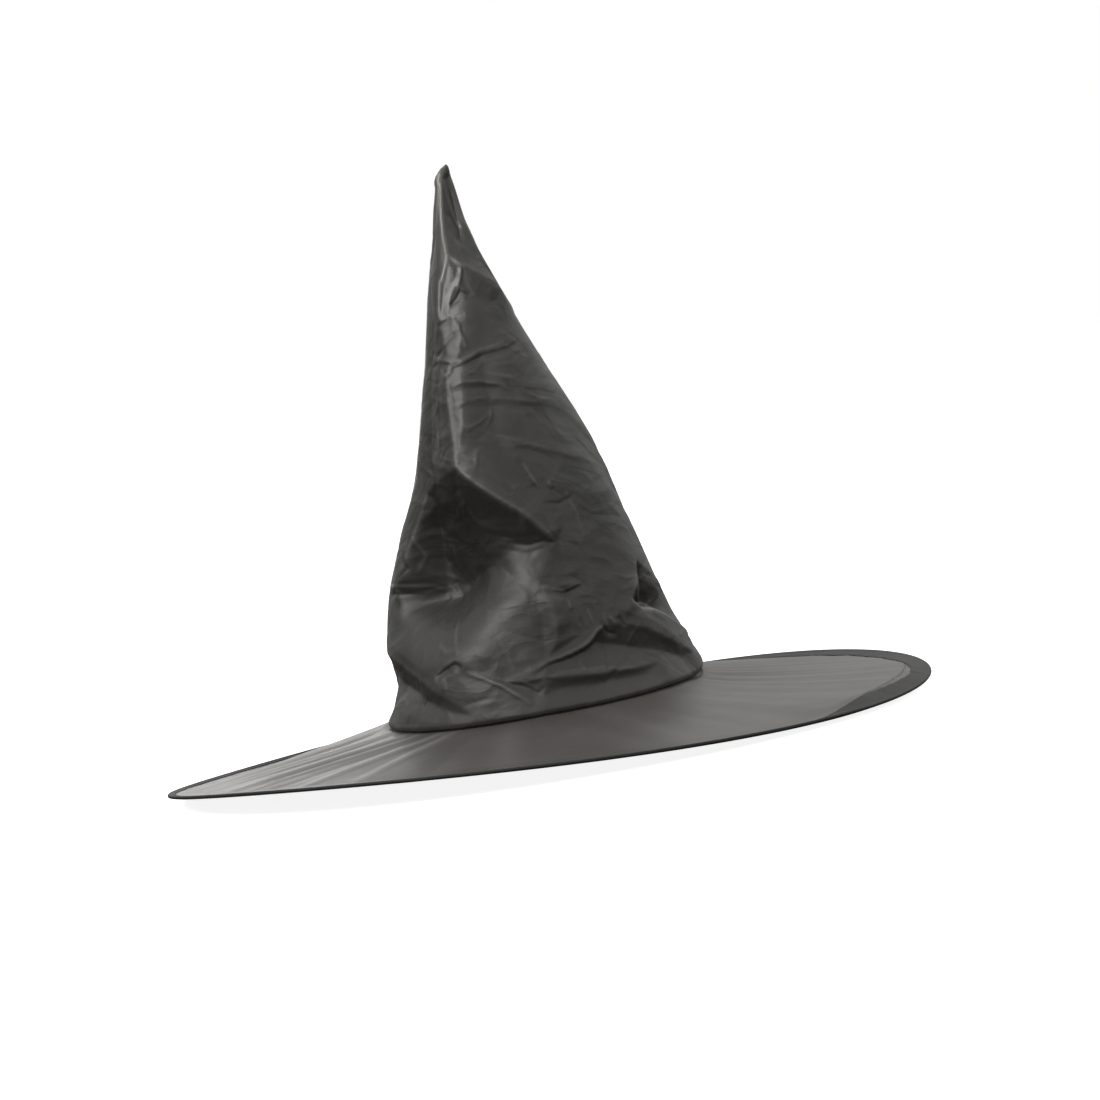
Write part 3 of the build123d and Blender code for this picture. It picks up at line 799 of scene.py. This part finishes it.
RIM_TUBE = 0.95
BINDING = 14.6
BRIM_EDGE = RIM_RADIUS - RIM_TUBE
LEFT_DROP, LEFT_DROP_TURN = 1.8, math.radians(104)  # how far the left tip hangs lower, and where
SAG = 0.7  # below 1 the cloth hangs hollow between the seam and the rim
HEM_LEVEL, DROOP = -1.0, 24.0  # tilt of the bound edge in degrees, and how much more where it droops
DROOP_START, DROOP_RISE = 40, 14  # where the droop sets in, at the front right, and over how far
DROOP_END, DROOP_FALL = 125, 55  # the same for its end, at the back right
UNDER_SEAM, RIGHT_DIP, DIP_TURN, DIP_WIDTH = 0.9, 1.8, 78, 15  # the cloth lies lower at the right


def degrees_round(a):
    """An angle from the front in radians, as degrees from -180 to 180."""
    return np.degrees(np.arctan2(np.sin(a), np.cos(a)))


def rim_height(a):
    """Height of the rim's wire at an angle from the front, in radians."""
    left = np.cos((a + LEFT_DROP_TURN) / 2) ** 16
    return -RIM_DROP + SADDLE * np.cos(2 * a - SADDLE_TURN) - LEFT_DROP * left


def hem_tilt(a):
    """How steeply the bound edge hangs, in radians: most at the front right, where it droops."""
    turn = degrees_round(a)
    droop = np.clip((turn - DROOP_START) / DROOP_RISE, 0, 1) * np.clip((DROOP_END - turn) / DROOP_FALL, 0, 1)
    return np.radians(HEM_LEVEL + DROOP * droop * droop * (3 - 2 * droop))


# Straight tension folds between the crown and the rim: (angle from the front at the crown, angle at
# the rim, rise, half width in mm, how pale the fold's line is painted as a highlight streak).
BRIM_FOLDS = [
    (-92, -90, 1.6, 11, 0.7), (-84, -84, -1.2, 9, 0), (-74, -77, 1, 7, 0.5), (-66, -69, -1.2, 8, 0),
    (-57, -60, 1.8, 7, 0.75), (-53, -56, -1, 6, 0), (-49, -53, 1.6, 6, 0.75), (-44, -46, -1.2, 8, 0),
    (-38, -40, 1.6, 7, 0.7), (-33, -30, 1, 7, 0.5), (-24, -18, -1.4, 14, 0), (-12, -6, 1, 14, 0.15),
    (2, 8, -1.2, 15, 0), (16, 22, 1, 15, 0.1), (30, 35, -1.2, 14, 0), (44, 48, 1, 13, 0.1),
    (58, 60, -1.2, 12, 0), (70, 70, 1.4, 6, 0.2), (74, 74, -0.8, 5, 0), (78, 79, 1.6, 6, 0.25),
    (84, 84, -1, 5, 0), (88, 90, 1.4, 5, 0.25), (93, 94, 1, 4, 0.15), (99, 102, 1.4, 6, 0.2),
    (106, 109, -1.2, 7, 0), (113, 116, 1.4, 8, 0.15), (126, 124, 1.2, 9, 0.3), (141, 146, -1.2, 12, 0),
    (155, 152, 1.3, 10, 0.4), (170, 174, -1.2, 13, 0), (-176, -170, 1.2, 11, 0.3),
    (-162, -166, -1.2, 12, 0), (-148, -144, 1.3, 10, 0.4), (-132, -136, -1.2, 11, 0),
    (-120, -118, 1.4, 9, 0.5), (-106, -104, -1, 9, 0), (-99, -98, 1.2, 6, 0.5),
]


def brim_folds(a, r):
    """How far the folds lift the cloth at an angle and a radius, and how pale their lines are painted as
    highlight streaks.
    """
    x, y = r * np.sin(a), -r * np.cos(a)
    rise, pale = np.zeros((2, *np.broadcast(a, r).shape))
    for start, end, height, width, line in BRIM_FOLDS:
        start, end = math.radians(start), math.radians(end)
        x0, y0 = CROWN_RADIUS * math.sin(start), -CROWN_RADIUS * math.cos(start)
        dx, dy = BRIM_EDGE * math.sin(end) - x0, -BRIM_EDGE * math.cos(end) - y0
        length = math.hypot(dx, dy)
        share = np.clip(((x - x0) * dx + (y - y0) * dy) / length ** 2, 0, 1)
        off = np.abs((x - x0) * dy - (y - y0) * dx) / length
        fade = np.sin(share * math.pi) ** 0.6 * (1 - 0.5 * share)
        rise += height * fade * np.clip(1 - np.sqrt(off ** 2 + 0.3) / width, 0, 1) ** 1.2
        # Painted highlight streaks along the folds' lines.
        pale += line * np.sin(share * math.pi) ** 0.3 * np.clip(1.2 - off / (0.7 * width), 0, 1)
    return rise, np.clip(pale, 0, 1)


def brim_shape(a, r):
    """Height of the brim's cloth at an angle and a radius."""
    width = BRIM_EDGE - CROWN_RADIUS
    share = np.clip((r - CROWN_RADIUS) / width, 0, 1)
    dip = RIGHT_DIP * np.exp(-((degrees_round(a) - DIP_TURN) / DIP_WIDTH) ** 2)
    base = seam_height(a) - UNDER_SEAM - dip
    rim = rim_height(a)
    lift = np.tan(hem_tilt(a)) * BINDING - (base - rim) / width * BINDING
    inner = np.clip((r - CROWN_RADIUS) / (width - BINDING), 0, 1) ** 2 * lift
    outer = lift * np.clip((BRIM_EDGE - r) / BINDING, 0, 1)
    hem = np.where(r < BRIM_EDGE - BINDING, inner, outer)
    return base + (rim - base) * share ** SAG + hem + brim_folds(a, r)[0]


def make_brim():
    """The brim's ring of cloth, turned up inside the crown where it's sewn to the base seam."""
    a = np.arange(RIM_COLUMNS)[None, :] * 2 * math.pi / RIM_COLUMNS
    foot = inside(a)
    start, end = foot + 0.6, BRIM_EDGE - 0.4
    r = start + (end - start) * np.linspace(0, 1, BRIM_ROWS)[:, None]
    turned = [(foot - 0.9, 8.0), (foot - 0.6, 5.0), (foot - 0.3, 2.0), (foot, -0.2)]
    points = [round_point(a, x, seam_height(a) + z) for x, z in turned]
    points = np.concatenate(points + [round_point(a, r, brim_shape(a, r))])
    r = np.concatenate([foot - z for _, z in turned] + [r])
    flat = over_grid(r * np.sin(a), -r * np.cos(a))
    piece = grid_piece("brim", points, flat, BRIM_CLOTH, closed=True)
    # Paints the highlight streaks along the brim's folds.
    paint_pale_and_highlit_folds(piece, brim_folds(a, r)[1])
    return fit(piece, "brim_cloth", CLOTH)


brim = make_brim()


# Width of the binding's top leaf at angles from the front. The strip is folded off its middle: where
# the top leaf is narrow, on the near left side, the under leaf is wide.
LEAF_ANGLES = (-180, -140, -100, 36, 47, 58, 130, 180)
LEAF_WIDTHS = (9, 6, 3.6, 3.4, 8.5, BINDING, BINDING, 9)
LEAF_STEP = 1.2  # between the points across a leaf
LEAF_UP, LEAF_EDGE_UP = 0.38, 0.42  # how far a leaf and its edge lie from the middle of the brim's cloth
STRIP = 36.0  # the binding's whole width before it's folded


def leaf_width(a):
    """Width of the binding's top leaf at an angle from the front, in radians."""
    return np.interp(degrees_round(a), LEAF_ANGLES, LEAF_WIDTHS)


def make_binding():
    """The strip folded over the wire: its top leaf, the round of the wire and its under leaf."""
    random = np.random.default_rng(SEED + 1)
    turns = np.arange(RIM_COLUMNS) * 2 * math.pi / RIM_COLUMNS

    def waves(size, counts):
        return sum(random.normal(0, size) * np.cos(k * turns + random.random() * 6.28) for k in counts)

    wave, pucker = waves(0.5, range(3, 14)), waves(0.02, range(60, 150, 6))
    tilt = hem_tilt(turns)
    leaf = leaf_width(turns) / BINDING
    top = [(-BINDING + 0.3, 0.28, 1), (-BINDING, LEAF_EDGE_UP, 1)]
    top += [(-BINDING + LEAF_STEP * k, LEAF_UP, 1) for k in range(1, 12)]
    arc = [math.radians(g) for g in range(70, -71, -20)]
    middle = [(RIM_TUBE * math.cos(g) - 0.2, RIM_TUBE * math.sin(g), 0) for g in arc]
    section = top + middle + [(along, -across, 1) for along, across, _ in reversed(top)]
    rows = []
    for along, across, on_leaf in section:
        share = max(0.0, -along / BINDING)
        width = leaf if across > 0 else 1.7 - 0.7 * leaf
        along = along * width if on_leaf else along
        reach = along + on_leaf * share * wave * width
        lift = across + on_leaf * share * pucker * (1 if across > 0 else -1)
        r = BRIM_EDGE + reach * np.cos(tilt) + across * np.sin(tilt)
        height = brim_shape(turns, np.minimum(r, BRIM_EDGE))
        z = height + lift * np.cos(tilt) - np.maximum(r - BRIM_EDGE, 0) * np.sin(tilt)
        rows.append(round_point(turns, r, z))
    flat = over_grid(turns * RIM_RADIUS, np.linspace(0, STRIP, len(section))[:, None])
    piece = grid_piece("rim_band", np.array(rows)[:, ::-1], flat, BINDING_CLOTH, closed=True)
    return fit(piece, "rim_binding", CLOTH)


rim_band = make_binding()


# ------------------------ stitches, wire, band and label

STITCH, STITCH_GAP = 2.6, 1.0
STITCH_SHARES, STITCH_SIDES = (-1, -0.8, -0.45, 0, 0.45, 0.8, 1), 6  # points along it; its sides
HEM_STITCH_INSET, HEM_STITCH_UP = 1.0, 0.45  # from the edge of the top leaf, and over the brim
WIRE, SLEEVE_RADIUS, SLEEVE_WALL = 0.5, 0.75, 0.15
WIRE_GAP, SLEEVE_REACH = 0.5, 11  # half the gap between the wire's ends, and half the sleeve's length
BAND_LOW, BAND_HIGH, BAND_THICKNESS = -1.5, 10, 0.5
LABEL_HALF, LABEL_LONG, LABEL_THICKNESS = 12, 30, 0.25


def unit(vectors):
    """Vectors brought to a length of one."""
    return vectors / np.linalg.norm(vectors, axis=1, keepdims=True)


def tube(name, path, radius, material, sides=8):
    """A round tube along points in metres."""
    ahead = unit(np.concatenate([[path[1] - path[0]], path[2:] - path[:-2], [path[-1] - path[-2]]]))
    out = unit(np.cross(ahead, (0, 0, 1)))
    up = np.cross(out, ahead)
    turn = np.arange(sides) * 2 * math.pi / sides
    across = np.cos(turn)[:, None] * out[:, None] + np.sin(turn)[:, None] * up[:, None]
    travel = np.cumsum([0, *np.linalg.norm(np.diff(path, axis=0), axis=1)])
    flat = over_grid(travel[:, None] / MM, turn * radius)
    return grid_piece(name, path[:, None] + radius * MM * across, flat, material, closed=True)


def stitches(name, centres, forward, outward, radius, bury):
    """A row of short stitches, each an arched bead of thread that dips into the cloth at its ends."""
    forward = unit(forward)
    outward = outward - (outward * forward).sum(1, keepdims=True) * forward
    vertices, faces = [], []
    for c, f, o in zip(centres, forward, outward):
        side = np.cross(f, o)
        first = len(vertices)
        for s in STITCH_SHARES:
            rise = bury * (1 - s ** 4) - bury * 0.6
            thick = radius * math.sqrt(max(1 - s ** 4, 0.02))
            middle = c + f * (s * STITCH / 2 * MM) + o * (rise * MM)
            for k in range(STITCH_SIDES):
                turn = 2 * math.pi * k / STITCH_SIDES
                vertices.append(middle + thick * MM * (math.cos(turn) * side + math.sin(turn) * o))
        last = len(vertices) - STITCH_SIDES
        for ring in range(first, last, STITCH_SIDES):
            for k in range(STITCH_SIDES):
                a, b = ring + k, ring + (k + 1) % STITCH_SIDES
                faces.append((a, b, b + STITCH_SIDES, a + STITCH_SIDES))
        faces.append(tuple(range(first, first + STITCH_SIDES))[::-1])
        faces.append(tuple(range(last, last + STITCH_SIDES)))
    return smooth_piece(name, [tuple(v) for v in vertices], faces, THREAD)


def ring_stitches(name, node, line, radius_round, radius, bury, inward=True):
    """Stitches round the hat along line(angle), in metres, raised from it inward or else upward."""
    count = int(2 * math.pi * radius_round / (STITCH + STITCH_GAP))
    a = np.arange(count) * 2 * math.pi / count
    outward = np.stack([-np.sin(a), np.cos(a), 0 * a], -1) if inward else np.tile([0.0, 0, 1], (count, 1))
    piece = stitches(name, line(a), line(a + 0.004) - line(a - 0.004), outward, radius, bury)
    fit(piece, node)


def hem_line(a):
    """The line along the edge of the binding's top leaf."""
    r = BRIM_EDGE - leaf_width(a) + HEM_STITCH_INSET
    return round_point(a, r, brim_shape(a, r) + HEM_STITCH_UP)


def foot_line(inset, up):
    """The line round the inside of the crown's foot, so far in from it and above the base seam."""
    return lambda a: round_point(a, inside(a) - inset, seam_height(a) + up)


ring_stitches("rim_stitches", "rim_binding_stitching", hem_line, BRIM_EDGE - BINDING, 0.12, 0.2, False)
ring_stitches("base_stitches", "base_seam_stitching", foot_line(0.9, 1.4), CROWN_RADIUS, 0.16, 0.25)
ring_stitches("band_stitches", "head_band_stitching", foot_line(2.3, 0.6), CROWN_RADIUS, 0.16, 0.25)


def rim_path(start, end, count):
    """Points along the rim, from one angle to another from its back, in radians."""
    a = np.linspace(math.pi + start, math.pi + end, count)
    return round_point(a, BRIM_EDGE, rim_height(a))


def make_wire():
    """The hoop inside the binding and the sleeve over its two ends at the back."""
    gap, reach = WIRE_GAP / BRIM_EDGE, SLEEVE_REACH / BRIM_EDGE
    wire = tube("rim_wire", rim_path(gap, 2 * math.pi - gap, 361), WIRE, STEEL)
    fit(wire, "brim_wire")
    sleeve = tube("rim_wire_sleeve", rim_path(-reach, reach, 13), SLEEVE_RADIUS, SLEEVE, sides=12)
    fit(sleeve, "brim_wire_sleeve", SLEEVE_WALL, -1)


make_wire()


def make_band():
    """The tape round the head opening, a little wavy along its free edge."""
    a = np.radians(np.arange(360))[None, :]
    up = np.linspace(BAND_LOW, BAND_HIGH, 9)[:, None]
    wave = 0.5 * np.sin(9 * a + 0.6) + 0.35 * np.sin(14 * a + 2.0)
    r = inside(a) - 1.9 - np.clip(up / BAND_HIGH, 0, 1) * (0.8 + 0.5 * wave)
    points = round_point(a, r, up + seam_height(a))
    piece = grid_piece("head_tape", points, over_grid(a * CROWN_RADIUS, up), TAPE, closed=True)
    return fit(piece, "head_band", BAND_THICKNESS)


def make_label():
    """A blank tab sewn into the back of the base seam, curling away from the crown."""
    across = np.linspace(-LABEL_HALF, LABEL_HALF, 13)[None, :]
    up = np.linspace(0, LABEL_LONG, 16)[:, None]
    a = across / (CROWN_RADIUS - 5)
    r = inside(a + math.pi) - 3.6 - 0.30 * up - 0.006 * up ** 2 + 0.3 * np.sin(across * 0.35)
    points = round_point(a, -r, up + 4.0 + SEAM_DIP)
    piece = grid_piece("blank_label", points, over_grid(across, up), LABEL)
    return fit(piece, "care_label", LABEL_THICKNESS)


head_tape = make_band()
blank_label = make_label()


# ------------------------ side seams

SEAM_START, SEAM_END = 12, 284  # heights where the side seams' stitches start and end
OVER_CREASE = 2  # how far over the crease the tip's stitches start


def side_stitches(name, side, bottom, top, node):
    """Stitches up the inside of a side seam."""
    column = int(np.argmin(np.abs(ANGLES - side * 90)))
    up = np.arange(bottom, top, STITCH + STITCH_GAP)
    r = np.interp(up, HEIGHTS, CROWN_ROUNDS[:, column]) - 1.0
    centres = crown_point(side * 90.0 + 0 * up, up, r)
    outward = np.tile([-side, 0.0, 0.0], (len(up), 1))
    piece = stitches(name, centres, np.gradient(centres, axis=0), outward, 0.16, 0.25)
    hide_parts(node)
    bend(piece)


for side, word in ((-1, "left"), (1, "right")):
    side_stitches(f"seam_{word}", side, SEAM_START, FLOP_HEIGHT, f"crown_{word}_seam_stitching")
    side_stitches(f"seam_tip_{word}", side, FLOP_HEIGHT + OVER_CREASE, SEAM_END,
                  f"crown_tip_{word}_seam_stitching")

for piece in crown_pieces:
    thicken(piece, CLOTH, -1)
    bend(piece)


# ------------------------ studio

FLOOR, FLOOR_HALF, FLOOR_GLOW = -29.0 * MM, 40.0, 0.88


def make_floor():
    """A pale floor under the rim's lowest point; it takes a shadow but throws no light back."""
    corners = [(x * FLOOR_HALF, y * FLOOR_HALF, FLOOR) for x, y in ((-1, -1), (1, -1), (1, 1), (-1, 1))]
    n = Nodes("pale_floor")
    n.look(("Base Color", (0.8, 0.8, 0.8, 1)),
           ("Roughness", 0.9),
           ("Specular IOR Level", 0.0),
           ("Emission Color", (1, 1, 1, 1)),
           ("Emission Strength", FLOOR_GLOW))
    floor = smooth_piece("floor", corners, [(0, 1, 2, 3)], n.owner)
    floor.visible_diffuse = False
    floor.visible_glossy = False


def area_light(name, place, target, size, power, spread=180):
    """A rectangular light that is aimed at a target; power in watts, spread in degrees."""
    data = bpy.data.lights.new(name, "AREA")
    data.shape = "RECTANGLE"
    data.size, data.size_y = size
    data.energy = power
    data.spread = math.radians(spread)
    light = bpy.data.objects.new(name, data)
    bpy.context.scene.collection.objects.link(light)
    aim = (Vector(target) - Vector(place)).to_track_quat("-Z", "Y")
    light.matrix_world = Matrix.LocRotScale(Vector(place), aim, None)


# Strength of the room's light: low down, overhead, and straight ahead beyond the hat; then the shares
# of it that are left straight up and at the left.
WORLD_LOW, WORLD_TOP, WORLD_BACK = 0.035, 1.0, 0.45
WORLD_ZENITH, WORLD_LEFT = 0.5, 0.45


def make_world():
    """A white backdrop behind the hat, a paler ceiling, a dim room in front and a darker left side."""
    n = Nodes("studio", bpy.data.worlds, "Background")
    bpy.context.scene.world = n.owner
    generated = n.add("ShaderNodeTexCoord").outputs["Generated"]
    x, y, z = n.add("ShaderNodeSeparateXYZ", [(0, generated)]).outputs

    def rise(value, low, high, to_low, to_high):
        return n.ramp(value, low, high, to_low, to_high, "SMOOTHSTEP")

    back = n.maths("MULTIPLY", rise(y, -0.1, 0.7, 0.0, WORLD_BACK), rise(z, -0.2, 0.05, 0.0, 1.0))
    zenith = rise(z, 0.55, 0.95, 1.0, WORLD_ZENITH)
    top = n.maths("MULTIPLY", rise(z, -0.05, 0.6, WORLD_LOW, WORLD_TOP), zenith)
    room = n.maths("MULTIPLY", n.maths("ADD", back, top), rise(x, -1.0, -0.25, WORLD_LEFT, 1.0))
    seen = n.add("ShaderNodeLightPath").outputs["Is Camera Ray"]
    n.look(("Color", (1, 1, 1, 1)), ("Strength", rise(seen, 0.0, 1.0, room, 1.0)))


make_floor()
make_world()
area_light("key", (-1.4, -1.15, 1.55), (0, 0, 0.12), (0.8, 1.0), 27)
area_light("glow", (-0.42, 2.0, 0.28), (-0.15, 0, 0), (0.35, 0.3), 1.7)
area_light("accent", (-0.75, -1.0, 0.75), (0, 0, 0.435), (0.25, 0.25), 0.85, 18)
area_light("fill", (1.8, -1.3, 1.0), (0, 0, 0.12), (1.2, 1.2), 2.5)
bpy.context.scene.view_settings.view_transform = "Standard"
